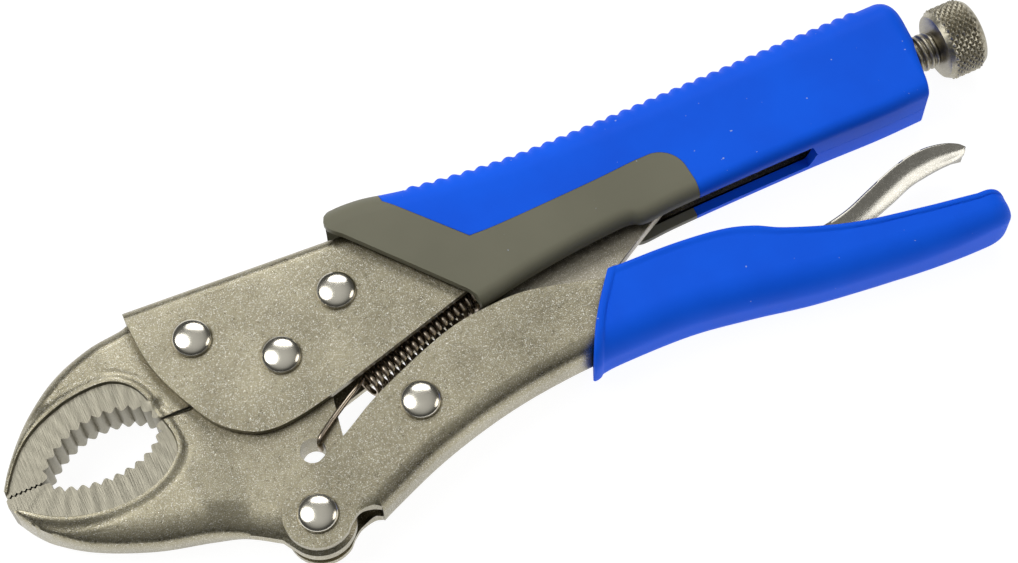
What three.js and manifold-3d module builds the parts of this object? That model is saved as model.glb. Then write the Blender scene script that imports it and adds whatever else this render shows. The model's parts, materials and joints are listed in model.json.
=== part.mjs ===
// Locking pliers, curved jaws, 250 mm class, jaws shut and handles locked.
// Millimetres. The pliers lie on their side: X runs from the jaws to the adjusting knob, Y from the
// lower handle to the upper one, and Z is the direction that every hinge axis has.
// The drawing is centred on the jaw pivot and on the middle of the thickness, and moved at the end so
// that the origin is the middle of the bounding box's bottom.
import * as THREE from 'three';
import { mergeVertices } from 'three/addons/utils/BufferGeometryUtils.js';
import Module from 'manifold-3d';

const wasm = await Module();
wasm.setup();

// Driving dimensions
const sheet = 1.8;                 // thickness of both pressed channels
const channelHalf = 6.5;           // half width of both channels
const innerHalf = channelHalf - sheet;
const webHalf = 4.4;               // half thickness of the jaws where the channels clasp them
const noseHalf = 6.4;              // half thickness of the jaws at the teeth
const groundHalf = 5.9;            // half thickness of the ground band beside the teeth
const gripHalf = 9.0;              // half width of both grips
const fit = 0.2;                   // running clearance between neighbours
const seam = 0.15;                 // half of the joint line between the two colours of the upper grip

const jawPivot = [0, 0];
const frontRivet = [-16.6, 12.3];
const rearRivet = [17.4, 9.1];
const handlePivot = [-7.4, -37.6];
const linkPivot = [23.8, -23.2];
const linkNose = [104.5, 8];       // centre of the rounded nose that bears on the screw
const leverPivot = [82, -24];
const springHook = [-2.5, -23.1];
const springAnchor = [58, 2.4];

const shankRadius = 2.8;
const headRadius = 4.65;
const headHeight = 2.3;
const screwAxisY = 8;
const screwRadius = 4.5;
const threadPitch = 1.5;
const threadDepth = 0.6;
const screwTipX = 112.8;
const knobFrontX = 172;
const knobLength = 10;
const knobRadius = 8.9;

// Colours
const nickel = { color: 0xb9b4a6, roughness: 0.42, metalness: 1 };
const polished = { color: 0xc9c6bd, roughness: 0.12, metalness: 1 };
const darkWire = { color: 0x6b6257, roughness: 0.35, metalness: 1 };
const blueRubber = { color: 0x0d46d8, roughness: 0.48, metalness: 0 };
const greyRubber = { color: 0x5c5c4e, roughness: 0.6, metalness: 0 };

const parts = new THREE.Group();

function addPart(name, geometry, look) {
  const mesh = new THREE.Mesh(geometry, new THREE.MeshStandardMaterial(look));
  mesh.name = name;
  parts.add(mesh);
}

// Solids

function toSolid(geometry) {
  const bare = geometry.clone();
  bare.deleteAttribute('normal');
  bare.deleteAttribute('uv');
  const merged = mergeVertices(bare, 1e-4);
  return new wasm.Manifold(new wasm.Mesh({
    numProp: 3,
    vertProperties: new Float32Array(merged.attributes.position.array),
    triVerts: new Uint32Array(merged.index.array),
  }));
}

function toGeometry(solid) {
  const mesh = solid.getMesh();
  const geometry = new THREE.BufferGeometry();
  geometry.setAttribute('position', new THREE.BufferAttribute(new Float32Array(mesh.vertProperties), 3));
  geometry.setIndex(new THREE.BufferAttribute(new Uint32Array(mesh.triVerts), 1));
  geometry.computeVertexNormals();
  return geometry;
}

function joinAll(solids) {
  return solids.reduce((whole, solid) => whole.add(solid));
}

function cutAll(body, tools) {
  return tools.reduce((rest, tool) => rest.subtract(tool), body);
}

// Outlines, as lists of [x, y]

function curve(points, steps) {
  const spline = new THREE.SplineCurve(points.map(([x, y]) => new THREE.Vector2(x, y)));
  return spline.getPoints(steps).map((p) => [p.x, p.y]);
}

function arc(centre, radius, fromDeg, toDeg, steps) {
  const points = [];
  for (let i = 0; i <= steps; i += 1) {
    const angle = THREE.MathUtils.degToRad(fromDeg + ((toDeg - fromDeg) * i) / steps);
    points.push([centre[0] + radius * Math.cos(angle), centre[1] + radius * Math.sin(angle)]);
  }
  return points;
}

// Zigzag along a line of points; crests stand to the left of the walking direction when depth > 0.
function toothed(points, pitch, depth) {
  const path = new THREE.CurvePath();
  for (let i = 1; i < points.length; i += 1) {
    path.add(new THREE.LineCurve(new THREE.Vector2(...points[i - 1]), new THREE.Vector2(...points[i])));
  }
  const half = Math.max(2, Math.round(path.getLength() / pitch) * 2);
  const result = [];
  for (let i = 0; i <= half; i += 1) {
    const at = path.getPointAt(i / half);
    const tangent = path.getTangentAt(i / half);
    const lift = i % 2 ? depth : 0;
    result.push([at.x - tangent.y * lift, at.y + tangent.x * lift]);
  }
  return result;
}

// Flat plate of an outline, centred on z = 0; a bevel keeps the outline as the widest section.
function plate(outline, half, bevel = 0) {
  const shape = new THREE.Shape(outline.map(([x, y]) => new THREE.Vector2(x, y)));
  const geometry = new THREE.ExtrudeGeometry(shape, {
    depth: 2 * (half - bevel),
    bevelEnabled: bevel > 0,
    bevelThickness: bevel,
    bevelSize: bevel,
    bevelOffset: -bevel,
    bevelSegments: 2,
  });
  geometry.translate(0, 0, bevel - half);
  return toSolid(geometry);
}

function pin(centre, radius, half, segments = 22) {
  const geometry = new THREE.CylinderGeometry(radius, radius, 2 * half, segments);
  geometry.rotateX(Math.PI / 2);
  geometry.translate(centre[0], centre[1], 0);
  return toSolid(geometry);
}

function rod(fromX, toX, y, radius, segments = 32) {
  const geometry = new THREE.CylinderGeometry(radius, radius, toX - fromX, segments);
  geometry.rotateZ(Math.PI / 2);
  geometry.translate((fromX + toX) / 2, y, 0);
  return toSolid(geometry);
}

// Cross-section in Y and Z with its own corner radius at the bottom and at the top
function section(x, bottom, top, half, bottomRadius, topRadius, steps = 4) {
  const points = [
    ...arc([bottom + bottomRadius, half - bottomRadius], bottomRadius, 90, 180, steps),
    ...arc([bottom + bottomRadius, bottomRadius - half], bottomRadius, 180, 270, steps),
    ...arc([top - topRadius, topRadius - half], topRadius, 270, 360, steps),
    ...arc([top - topRadius, half - topRadius], topRadius, 0, 90, steps),
  ];
  return points.map(([y, z]) => [x, y, z]);
}

// Skin over a row of sections that have the same number of points
function loft(sections) {
  const count = sections[0].length;
  const positions = sections.flat(2);
  const index = [];
  for (let s = 1; s < sections.length; s += 1) {
    for (let i = 0; i < count; i += 1) {
      const a = (s - 1) * count + i;
      const b = (s - 1) * count + ((i + 1) % count);
      index.push(a, b, b + count, a, b + count, a + count);
    }
  }
  const last = (sections.length - 1) * count;
  for (let i = 1; i < count - 1; i += 1) {
    index.push(0, i + 1, i);
    index.push(last, last + i, last + i + 1);
  }
  const geometry = new THREE.BufferGeometry();
  geometry.setAttribute('position', new THREE.Float32BufferAttribute(positions, 3));
  geometry.setIndex(index);
  return toSolid(geometry);
}

// Height at x of a line of points
function heightAt(points, x) {
  let i = 1;
  while (i < points.length - 1 && points[i][0] < x) i += 1;
  const [x0, y0] = points[i - 1];
  const [x1, y1] = points[i];
  const t = THREE.MathUtils.clamp((x - x0) / (x1 - x0), 0, 1);
  return y0 + (y1 - y0) * t;
}

// Upper channel: a U of sheet, open below; its two cheeks clasp the jaws
const upperSpine = [[-28.6, 25.9], [24, 22.2], [50, 20.4], [146.6, 20.4]];
const upperSpineRadius = 3.6;

function upperChannelOutline() {
  return [
    [-28.6, 32],
    ...curve([[-28.6, 21.7], [-27.7, 11], [-24.6, 1.5], [-19.6, -8.4], [-13.6, -13.6]], 14),
    ...curve([[-8, -15.3], [-1, -14.9], [6.6, -13.4]], 6),
    [44.2, -3.6],
    [56, -2.4],
    [146.6, -2.4],
    [146.6, 32],
  ];
}

function frameChannel() {
  const stations = [-30, -10, 10, 24, 36, 50, 148];
  const outer = stations.map((x) => (
    section(x, -60, heightAt(upperSpine, x), channelHalf, 1, upperSpineRadius)));
  const inner = stations.map((x) => (
    section(x * 1.01, -70, heightAt(upperSpine, x) - sheet, innerHalf, 1, upperSpineRadius - sheet)));
  return cutAll(plate(upperChannelOutline(), 12).intersect(loft(outer)), [
    loft(inner),
    pin(jawPivot, shankRadius + fit, 12),
    pin(frontRivet, shankRadius + fit, 12),
    pin(rearRivet, shankRadius + fit, 12),
    pin(springAnchor, 1.5, 12, 16),
  ]);
}

// Jaws
const upperTeethLine = [[-59.5, -4.75], [-57.6, -0.9], [-53, 2.6], [-48, 4.7], [-43, 5.4],
  [-38, 4.9], [-34, 3.4], [-31.2, 0.8], [-30.2, -1.9]];
const lowerTeethLine = [[-59.5, -5.15], [-57.4, -7.7], [-53, -9.7], [-48, -10.7], [-43, -10.8],
  [-38, -9.9], [-34, -8], [-31.2, -5.2], [-30.2, -2.25]];
const toothPitch = 3;
const toothDepth = 1.1;
const tipPitch = 1.6;
const tipDepth = 0.35;

function upperTeeth() {
  return [
    ...toothed([[-67.8, -4.6], [-59.8, -4.6]], tipPitch, -tipDepth * 0.4),
    ...toothed(curve(upperTeethLine, 40), toothPitch, -toothDepth),
  ];
}

function lowerTeeth() {
  return [
    ...toothed([[-68.2, -5.25], [-59.8, -5.25]], tipPitch, tipDepth * 0.4),
    ...toothed(curve(lowerTeethLine, 40), toothPitch, toothDepth),
  ];
}

const upperBack = [[-30, 22.9], [-38.3, 21.2], [-46, 18.7], [-52.5, 15], [-59.1, 9.2], [-64.8, 1.8], [-67.8, -3]];
const lowerBack = [[-68.2, -7], [-65.4, -12], [-61.7, -16.4], [-54.4, -22.1], [-42.3, -27.6], [-30, -31.1],
  [-23, -34], [-16.6, -38.2]];
const hubRadius = 9.6;

function upperJaw() {
  const back = curve(upperBack, 18);
  const web = plate([
    ...back,
    ...upperTeeth(),
    ...arc(jawPivot, hubRadius + 0.5, 190.8, 8, 18),
    [24.5, 1.4],
    [24.5, 19],
    [-28.2, 22.7],
  ], webHalf);
  const rim = curve([[-65.4, -1], [-61.2, 4.4], [-56.2, 7.9], [-49.2, 10.5], [-42.9, 11.4], [-37.4, 10.9],
    [-33.4, 8.2], [-31.4, 4], [-30.7, -1.9]], 22);
  const nose = plate([...curve(upperBack.slice(0, 6), 16), ...rim, [-28.7, -1.9], [-28.4, 5], [-29.2, 12]],
    noseHalf);
  const band = plate([...curve(upperBack.slice(3), 10), ...upperTeeth(), ...curve([[-29.4, 4], [-32, 9.4],
    [-37.4, 12.5], [-43.5, 13], [-49, 12.3]], 10)], groundHalf);
  return cutAll(joinAll([web, nose, band]), [
    pin(frontRivet, shankRadius + fit, 12),
    pin(rearRivet, shankRadius + fit, 12),
  ]);
}

function lowerJaw() {
  const back = curve(lowerBack, 22);
  const web = plate([
    ...lowerTeeth(),
    ...arc(jawPivot, hubRadius, 193.3, -10, 22),
    [6.6, -13.5],
    [5.6, -19],
    [4.6, -25],
    ...arc(handlePivot, 8.2, 12, -150, 16),
    ...back.reverse(),
  ], webHalf);
  const rim = curve([[-29.6, -2.6], [-28.7, -6.5], [-29.2, -10], [-31.4, -12.9], [-35.4, -15.5], [-41.6, -17.1],
    [-48.6, -17], [-55.6, -15.3], [-61.4, -12.4], [-65, -9.6]], 22);
  const nose = plate([...rim, ...curve(lowerBack.slice(1, 6), 14), [-26.4, -24], [-25.2, -14], [-26.2, -2.6]],
    noseHalf);
  const band = plate([...lowerTeeth(), ...curve([[-27.6, -8], [-30, -14], [-36, -17.8], [-44, -19.4], [-52, -18.6],
    [-60, -15.2], [-65.4, -12], [-68.2, -7]], 16)], groundHalf);
  return cutAll(joinAll([web, nose, band]), [
    pin(jawPivot, shankRadius + fit, 12),
    pin(handlePivot, shankRadius + fit, 12),
    pin(springHook, 2.9, 12),
  ]);
}

// Rivets: a shank with a domed head on each side
function rivet(centre) {
  const seat = channelHalf + fit / 2;
  const dome = arc([0, 0], 1, 0, 90, 4).map(([c, s]) => [headRadius * c, seat + 0.3 + (headHeight - 0.3) * s]);
  const half = [[shankRadius, seat], [headRadius - 0.15, seat], ...dome];
  const profile = [...half.map(([r, z]) => [r, -z]).reverse(), ...half];
  profile[0][0] = 0;
  profile[profile.length - 1][0] = 0;
  const geometry = new THREE.LatheGeometry(profile.map(([r, z]) => new THREE.Vector2(r, z)), 18);
  geometry.rotateX(Math.PI / 2);
  geometry.translate(centre[0], centre[1], 0);
  return toSolid(geometry);
}

// Lower channel: a U open above; two flat ears in front clasp the tail of the lower jaw
const lowerSpine = [[6, -42.4], [9.8, -40.8], [21.4, -36.4], [32.7, -33.2], [43.7, -31], [54.3, -29.8],
  [66, -29.3], [84, -29.9], [100, -32.2], [116, -35.1], [138, -38.1], [158, -39]];
const lowerRim = [[-10.4, -30.3], [5.1, -23.4], [13.9, -18.7], [25.6, -14], [36, -10.6], [44, -9.4], [55, -9.3],
  [66, -12], [78, -15.4], [92, -17.2], [102, -19.8], [111, -23.4], [128, -28.6], [145, -31.8], [158, -34]];
const lowerSpineRadius = 4.2;
const spineStartX = 6;

function lowerChannel() {
  const outline = [
    ...arc(handlePivot, 7.9, 112, 306, 22),
    [0.6, -41.6],
    [4.3, -40.9],
    ...curve(lowerSpine, 20).map(([x, y]) => [x, y - 0.6]),
    ...curve(lowerRim, 26).reverse().slice(0, -1),
  ];
  const stations = curve(lowerSpine, 14);
  const outer = [[-20, -42.4], ...stations, [162, -39.2]].map(([x, y]) => (
    section(x, y, 20, channelHalf, lowerSpineRadius, 1)));
  const inner = stations.map(([x, y]) => (
    section(x, y + sheet, 30, innerHalf, lowerSpineRadius - sheet, 1)));
  inner.push(section(162, -39.2 + sheet, 30, innerHalf, lowerSpineRadius - sheet, 1));
  const ears = section(-20, -60, 30, innerHalf, 1, 1);
  const earsEnd = section(spineStartX + 0.1, -60, 30, innerHalf, 1, 1);
  const earBlock = section(-20, -60, 30, channelHalf, 1, 1);
  const earBlockEnd = section(spineStartX, -60, 30, channelHalf, 1, 1);
  const envelope = loft(outer).add(loft([earBlock, earBlockEnd]));
  return cutAll(plate(outline, 12).intersect(envelope), [
    loft(inner),
    loft([ears, earsEnd]),
    pin(handlePivot, shankRadius + fit, 12),
    pin(linkPivot, shankRadius + fit, 12),
    pin(leverPivot, 1.5 + fit, 12, 16),
  ]);
}

// Toggle link: a plate with a boss that fills the lower channel at its pivot
function toggleLink() {
  const half = 1.7;
  const noseRadius = 4.5;
  const outline = [
    ...curve([[20.2, -17.2], [32, -12.6], [45, -8.6], [62, -3.2], [84, 4.6], [102.9, 12.2]], 16),
    ...arc(linkNose, noseRadius, 100, -60, 10),
    ...curve([[103, 1], [93, -3.6], [83, -8.8], [74, -14], [64, -19.4], [50, -24.6], [27, -29.4]], 16),
    ...arc(linkPivot, 7, 294, 122, 12),
  ];
  return cutAll(plate(outline, half).add(pin(linkPivot, 6.6, webHalf)), [pin(linkPivot, shankRadius + fit, 12)]);
}

// Release lever: a pressed U, closed above, whose nose stands under the link
function releaseLever() {
  const half = innerHalf - 0.4;
  const wall = 1.3;
  const top = curve([[66.6, -21.6], [72, -20.4], [84, -19.9], [100, -21.6], [116, -21.9], [133, -20.3], [147, -16],
    [156, -14.3], [161.8, -15]], 24);
  const under = curve([[162.6, -21.6], [155.1, -22.4], [141.3, -25.4], [128, -26.8], [112, -28], [96, -27.4],
    [84, -26.2], [76, -25.8], [70, -24.8]], 20);
  const tip = curve([[161.8, -15], [164.8, -17.4], [165, -20], [162.6, -21.6]], 6).slice(1, -1);
  const pocketTop = curve([[69.5, -23.3], [84, -21.4], [100, -23.1], [116, -23.4], [133, -21.8], [147, -17.6],
    [155, -16]], 20);
  const pocket = plate([...pocketTop, [150, -36], [69.5, -36]], half - wall);
  return cutAll(plate([...top, ...tip, ...under], half, 0), [pocket, pin(leverPivot, 1.5 + fit, 12, 16)]);
}

// Lower grip: a soft sleeve with a flared lip, open above
function lowerGrip() {
  const wall = 2.1;
  const spine = [[60, -31.8], [66, -31.4], [84, -32], [100, -34.4], [116, -37.4], [138, -40.3], [158, -41.4],
    [166, -40.6]];
  const rim = [[60, -13], [77, -14.1], [92, -15.6], [102, -18], [111, -21.6], [128, -27], [145, -30.4],
    [160, -32.8], [166, -37]];
  const outer = curve(spine, 14).map(([x, y]) => section(x, y, 10, gripHalf, 6, 1));
  const lip = [[59, 1.6], [62, 1.1], [65, 0]].map(([x, more]) => (
    section(x, heightAt(spine, x) - more, 10, gripHalf + more, 6, 1)));
  const outline = plate([
    [58.2, -46],
    [60.4, -36],
    [75.4, -14.2],
    ...curve(rim.slice(1, -1), 24),
    ...curve([[160, -32.8], [164.4, -34.6], [166, -37.8], [164, -41.6], [158, -46]], 10).slice(1),
  ], 16);
  const cavity = curve(lowerSpine.slice(5), 12).map(([x, y]) => (
    section(x, y - fit, 30, channelHalf + fit, lowerSpineRadius, 1)));
  cavity.push(section(158 + fit, -39 - fit, 30, channelHalf + fit, lowerSpineRadius, 1));
  const shell = outline.intersect(loft(outer).add(loft(lip)));
  const mouth = section(155, -39 - fit + wall, 30, gripHalf - wall, 4, 1);
  return shell.subtract(loft(cavity)).subtract(loft([mouth, mouth.map(([x, y, z]) => [x + 3, y, z])]));
}

// Upper grip, moulded in two colours around the upper channel and the screw sleeve
const gripTop = [[21.4, 26.6], [24, 28.4], [28, 29], [32, 28.7], [37, 27.5], [42, 26.5], [51, 25.2], [61, 24.1],
  [71, 23.4], [91, 22.9], [163, 22.8], [166.2, 21.6]];
const gripBottom = [[21.4, -8.2], [48, -8.2], [60, -6.2], [72, -4.9], [84.6, -4.3], [88, -5.6], [102, -5],
  [133, -5], [160, -5.6], [166.2, -4.6]];
const slotEndX = 131.7;
const sleeveFrontX = 147;
const sleeveRearX = 164;
const sleeveRadius = 7.7;

function gripShell() {
  const stations = [21.4, 24, 28, 32, 37, 42, 48, 51, 56, 61, 66, 72, 84.6, 88, 91, 102, 118, 133, 148, 160, 163,
    165.4, 166.2];
  const outer = stations.map((x) => {
    const end = Math.max(0, x - 163);
    const half = gripHalf + 0.5 * THREE.MathUtils.clamp((60 - x) / 30, 0, 1) - end * 0.25;
    return section(x, heightAt(gripBottom, x), heightAt(gripTop, x), half, 3.2, 6.4);
  });
  const front = plate([[21.6, 40], [24, 20.6], [44.6, -4.4], [44.6, -20], [170, -20], [170, 40]], 16);
  const cavityX = [18, 24, 36, 50, 90, sleeveFrontX];
  const cavity = cavityX.map((x) => (
    section(x, -4.8, heightAt(upperSpine, x) + fit, channelHalf + fit, 0.6, upperSpineRadius)));
  const slot = cavityX.slice(0, -1).concat(slotEndX).map((x) => section(x, -30, 0, innerHalf, 0.6, 0.6));
  return cutAll(loft(outer).intersect(front), [
    loft(cavity),
    loft(slot),
    rod(sleeveFrontX - 1, sleeveRearX + fit, screwAxisY, sleeveRadius + fit),
    rod(sleeveRearX - 1, 170, screwAxisY, screwRadius + 0.5),
  ]);
}

// Side outline of the grey part; grown by the seam it also trims the blue part
function collarOutline(grow) {
  return [
    [10, 60],
    [34.6 + grow, 60],
    [34.6 + grow, 24],
    [49.6 + grow, 6.9 + grow],
    ...curve([[58, 7 + grow], [80, 7.6 + grow], [92, 8.4 + grow]], 6),
    ...arc([95.4, 1], 6.8 + grow, 76, 0, 6),
    [102.2 + grow, -30],
    [10, -30],
  ];
}

function gripRidges() {
  const count = 36;
  const first = 47.8;
  const pitch = 3.3;
  const ridges = [];
  for (let i = 0; i < count; i += 1) {
    const x = first + pitch * i;
    const lift = heightAt(gripTop, x) + 0.35;
    ridges.push(loft([-1.1, 0, 1.1].map((dx) => (
      section(x + dx, 17, lift - Math.abs(dx) * 0.8, 7.6, 1, 5.6, 2)))));
  }
  return joinAll(ridges);
}

function upperGrip(shell) {
  const aboveChannel = plate([[36, 21.05], [165, 21.05], [165, 40], [36, 40]], 12);
  return shell.subtract(plate(collarOutline(seam), 30)).add(gripRidges().intersect(aboveChannel));
}

// Adjusting screw, its sleeve and its knurled knob
function threadedRod() {
  const turns = 9;
  const root = screwRadius - threadDepth;
  const threadStartX = knobFrontX - 0.6 - turns * threadPitch;
  const plain = screwRadius - threadDepth / 2;
  const profile = [[0, screwTipX], [plain - 0.8, screwTipX], [plain, screwTipX + 0.8], [plain, threadStartX - 0.4]];
  for (let i = 0; i < turns; i += 1) {
    const x = threadStartX + i * threadPitch;
    profile.push([root, x], [screwRadius, x + threadPitch * 0.4], [screwRadius, x + threadPitch * 0.6]);
  }
  profile.push([root, knobFrontX - 0.6], [root, knobFrontX + 6], [0, knobFrontX + 6]);
  const geometry = new THREE.LatheGeometry(profile.map(([r, x]) => new THREE.Vector2(r, x)), 14);
  geometry.rotateZ(-Math.PI / 2);
  geometry.translate(0, screwAxisY, 0);
  return toSolid(geometry);
}

function screwSleeve() {
  return rod(sleeveFrontX, sleeveRearX, screwAxisY, sleeveRadius, 40)
    .subtract(rod(sleeveFrontX - 5, sleeveRearX + 5, screwAxisY, screwRadius + fit));
}

function adjustingKnob() {
  const around = 36;
  const rings = 7;
  const chamfer = 1.2;
  const knurlDepth = 0.35;
  const bodyLength = knobLength - 2 * chamfer;
  const sections = [];
  const ring = (x, radiusAt) => {
    const points = [];
    for (let i = 0; i < around; i += 1) {
      const angle = (2 * Math.PI * i) / around;
      const radius = radiusAt(i);
      points.push([x, screwAxisY + radius * Math.cos(angle), radius * Math.sin(angle)]);
    }
    return points;
  };
  sections.push(ring(knobFrontX, () => knobRadius - chamfer));
  for (let r = 0; r < rings; r += 1) {
    const x = knobFrontX + chamfer + (bodyLength * r) / (rings - 1);
    sections.push(ring(x, (i) => knobRadius - ((i + r) % 2 ? knurlDepth : 0)));
  }
  sections.push(ring(knobFrontX + knobLength, () => knobRadius - chamfer));
  return loft(sections).subtract(rod(knobFrontX - 1, knobFrontX + 6.4, screwAxisY, screwRadius - threadDepth + fit));
}

// Tension spring with a hook at each end, and the cross pin that holds its rear end
function springPath() {
  const start = new THREE.Vector3(14.4, -11.6, 0);
  const end = new THREE.Vector3(50.6, -0.6, 0);
  const along = end.clone().sub(start);
  const turns = 21;
  const radius = 2.7;
  const across = new THREE.Vector3(-along.y, along.x, 0).normalize();
  const points = [
    new THREE.Vector3(springHook[0] + 1.4, springHook[1] + 1.2, 1),
    new THREE.Vector3(springHook[0] + 1.5, springHook[1] + 1.3, 4.6),
    new THREE.Vector3(springHook[0] + 2.6, springHook[1] + 2.2, 5.6),
    new THREE.Vector3(6, -17, 5.4),
    new THREE.Vector3(11.6, -12.4, 3.6),
  ];
  const perTurn = 6;
  for (let i = 0; i <= turns * perTurn; i += 1) {
    const angle = (2 * Math.PI * i) / perTurn + Math.PI / 2;
    const at = start.clone().addScaledVector(along, i / (turns * perTurn));
    at.addScaledVector(across, radius * Math.cos(angle));
    at.z = radius * Math.sin(angle);
    points.push(at);
  }
  points.push(new THREE.Vector3(52.4, 1.6, 1.8));
  points.push(new THREE.Vector3(55.2, 4.6, 0.2));
  points.push(new THREE.Vector3(58, 5, 0));
  points.push(new THREE.Vector3(60.4, 3.4, 0));
  points.push(new THREE.Vector3(60.6, 1.2, 0));
  return new THREE.CatmullRomCurve3(points);
}

function tensionSpring() {
  const wire = new THREE.Shape(arc([0, 0], 0.6, 0, 300, 5).map(([x, y]) => new THREE.Vector2(x, y)));
  const geometry = new THREE.ExtrudeGeometry(wire, { steps: 138, extrudePath: springPath() });
  return toSolid(geometry);
}

const shell = gripShell();
addPart('frame_channel', toGeometry(frameChannel()), nickel);
addPart('upper_jaw', toGeometry(upperJaw()), nickel);
addPart('lower_jaw', toGeometry(lowerJaw()), nickel);
addPart('jaw_front_rivet', toGeometry(rivet(frontRivet)), polished);
addPart('jaw_rear_rivet', toGeometry(rivet(rearRivet)), polished);
addPart('jaw_pivot_rivet', toGeometry(rivet(jawPivot)), polished);
addPart('handle_pivot_rivet', toGeometry(rivet(handlePivot)), polished);
addPart('link_pivot_rivet', toGeometry(rivet(linkPivot)), polished);
addPart('lower_channel', toGeometry(lowerChannel()), nickel);
addPart('toggle_link', toGeometry(toggleLink()), nickel);
addPart('release_lever', toGeometry(releaseLever()), nickel);
addPart('lever_pin', toGeometry(pin(leverPivot, 1.5, channelHalf, 16)), polished);
addPart('lower_grip', toGeometry(lowerGrip()), blueRubber);
addPart('upper_grip', toGeometry(upperGrip(shell)), blueRubber);
addPart('grip_collar', toGeometry(shell.intersect(plate(collarOutline(-seam), 30))), greyRubber);
addPart('screw_sleeve', toGeometry(screwSleeve()), nickel);
addPart('adjusting_screw', toGeometry(threadedRod()), nickel);
addPart('adjusting_knob', toGeometry(adjustingKnob()), nickel);
addPart('tension_spring', toGeometry(tensionSpring()), darkWire);
addPart('spring_anchor_pin', toGeometry(pin(springAnchor, 1.3, channelHalf, 16)), nickel);

// The origin goes to the middle of the bounding box's bottom.
const box = new THREE.Box3().setFromObject(parts);
const middle = box.getCenter(new THREE.Vector3());
parts.position.set(-middle.x, -middle.y, -box.min.z);

const pliers = new THREE.Group();
pliers.add(parts);

export default pliers;
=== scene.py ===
"""Locking pliers with curved jaws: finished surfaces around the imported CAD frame.

Lengths in the outlines are millimetres in the drawing's own frame, whose origin is the jaw pivot on
the middle plane; place() turns them into the row frame, in metres.
"""
import json
from math import atan2, cos, hypot, pi, radians, sin, sqrt

import bmesh
import bpy
import numpy as np
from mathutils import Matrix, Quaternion, Vector
from mathutils.geometry import delaunay_2d_cdt


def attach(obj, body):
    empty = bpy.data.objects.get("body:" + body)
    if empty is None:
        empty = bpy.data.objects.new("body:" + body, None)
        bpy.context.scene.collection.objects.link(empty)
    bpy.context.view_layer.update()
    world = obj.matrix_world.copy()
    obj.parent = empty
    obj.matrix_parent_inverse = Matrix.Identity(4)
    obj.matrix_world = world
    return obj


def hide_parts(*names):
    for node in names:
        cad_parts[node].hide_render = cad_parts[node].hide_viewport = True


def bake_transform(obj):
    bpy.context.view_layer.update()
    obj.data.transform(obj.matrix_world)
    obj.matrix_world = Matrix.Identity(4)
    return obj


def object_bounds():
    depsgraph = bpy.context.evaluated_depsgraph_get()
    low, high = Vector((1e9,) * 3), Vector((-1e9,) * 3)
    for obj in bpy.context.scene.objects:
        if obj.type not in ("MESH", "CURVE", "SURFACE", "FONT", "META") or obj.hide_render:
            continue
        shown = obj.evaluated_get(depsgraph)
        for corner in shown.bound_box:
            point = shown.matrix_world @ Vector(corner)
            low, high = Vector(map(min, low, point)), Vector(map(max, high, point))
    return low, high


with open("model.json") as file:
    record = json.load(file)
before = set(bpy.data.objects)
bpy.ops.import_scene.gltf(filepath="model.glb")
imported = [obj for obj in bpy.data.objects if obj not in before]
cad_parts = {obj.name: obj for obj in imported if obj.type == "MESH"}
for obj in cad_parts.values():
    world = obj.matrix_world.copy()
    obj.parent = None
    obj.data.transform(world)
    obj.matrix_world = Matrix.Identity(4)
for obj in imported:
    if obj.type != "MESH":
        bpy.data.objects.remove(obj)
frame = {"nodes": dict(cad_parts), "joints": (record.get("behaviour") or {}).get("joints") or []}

cad_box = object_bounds()
MM = 0.001
joints = {joint["name"]: joint for joint in frame["joints"]}
ORIGIN = Vector(joints["jaw_hinge"]["pos_m"])


def place(point):
    return (ORIGIN.x + point[0] * MM, ORIGIN.y + point[1] * MM, ORIGIN.z + point[2] * MM)


def drawn(joint):
    """A joint's place in the drawing's frame, in millimetres."""
    offset = (Vector(joints[joint]["pos_m"]) - ORIGIN) / MM
    return (offset.x, offset.y)


# Driving dimensions, millimetres
SHEET = 1.8
CHANNEL_HALF = 6.5
WEB_HALF = 4.4
NOSE_HALF = 6.4
GROUND_HALF = 5.4
GRIP_HALF = 9.0
JAW_PIVOT = (0.0, 0.0)
HANDLE_PIVOT = drawn("handle_hinge")
LINK_PIVOT = drawn("link_hinge")
FRONT_RIVET = (-16.6, 12.3)
REAR_RIVET = (17.4, 9.1)
SPRING_HOLE = (-2.5, -23.1)
SCREW_Y = drawn("knob_spin")[1]
SCREW_RADIUS = 4.5
THREAD_PITCH = 1.5
THREAD_DEPTH = 0.62
SCREW_TIP_X = 112.8
KNOB_FRONT_X = 172.0
KNOB_LENGTH = 10.0
KNOB_RADIUS = 8.9
JAW_SPACING = 0.45
PLATE_SPACING = 2.4


# Curves and outlines

def spline(points, steps):
    """Catmull-Rom curve through the points, with so many steps to a span."""
    pts = [np.array(p, float) for p in points]
    pts = [2 * pts[0] - pts[1]] + pts + [2 * pts[-1] - pts[-2]]
    out = []
    for i in range(1, len(pts) - 2):
        a, b, c, d = pts[i - 1:i + 3]
        for k in range(steps):
            t = k / steps
            out.append(0.5 * (2 * b + (c - a) * t + (2 * a - 5 * b + 4 * c - d) * t ** 2
                              + (3 * b - a - 3 * c + d) * t ** 3))
    out.append(pts[-2])
    return [tuple(p) for p in out]


def arc(centre, radius, start, end, steps):
    """Points of an arc, angles in degrees."""
    angles = [radians(start + (end - start) * i / steps) for i in range(steps + 1)]
    return [(centre[0] + radius * cos(a), centre[1] + radius * sin(a)) for a in angles]


def resample(points, spacing):
    """The same line of points with an even spacing."""
    pts = np.array(points, float)
    lengths = np.hypot(*np.diff(pts, axis=0).T)
    at = np.concatenate([[0], np.cumsum(lengths)])
    count = max(2, int(round(at[-1] / spacing)))
    want = np.linspace(0, at[-1], count + 1)
    return [(float(np.interp(s, at, pts[:, 0])), float(np.interp(s, at, pts[:, 1]))) for s in want]


def height_at(points, x):
    """Height of a line of points, whose x values rise, at one x."""
    xs, ys = zip(*points)
    return float(np.interp(x, xs, ys))


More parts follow.
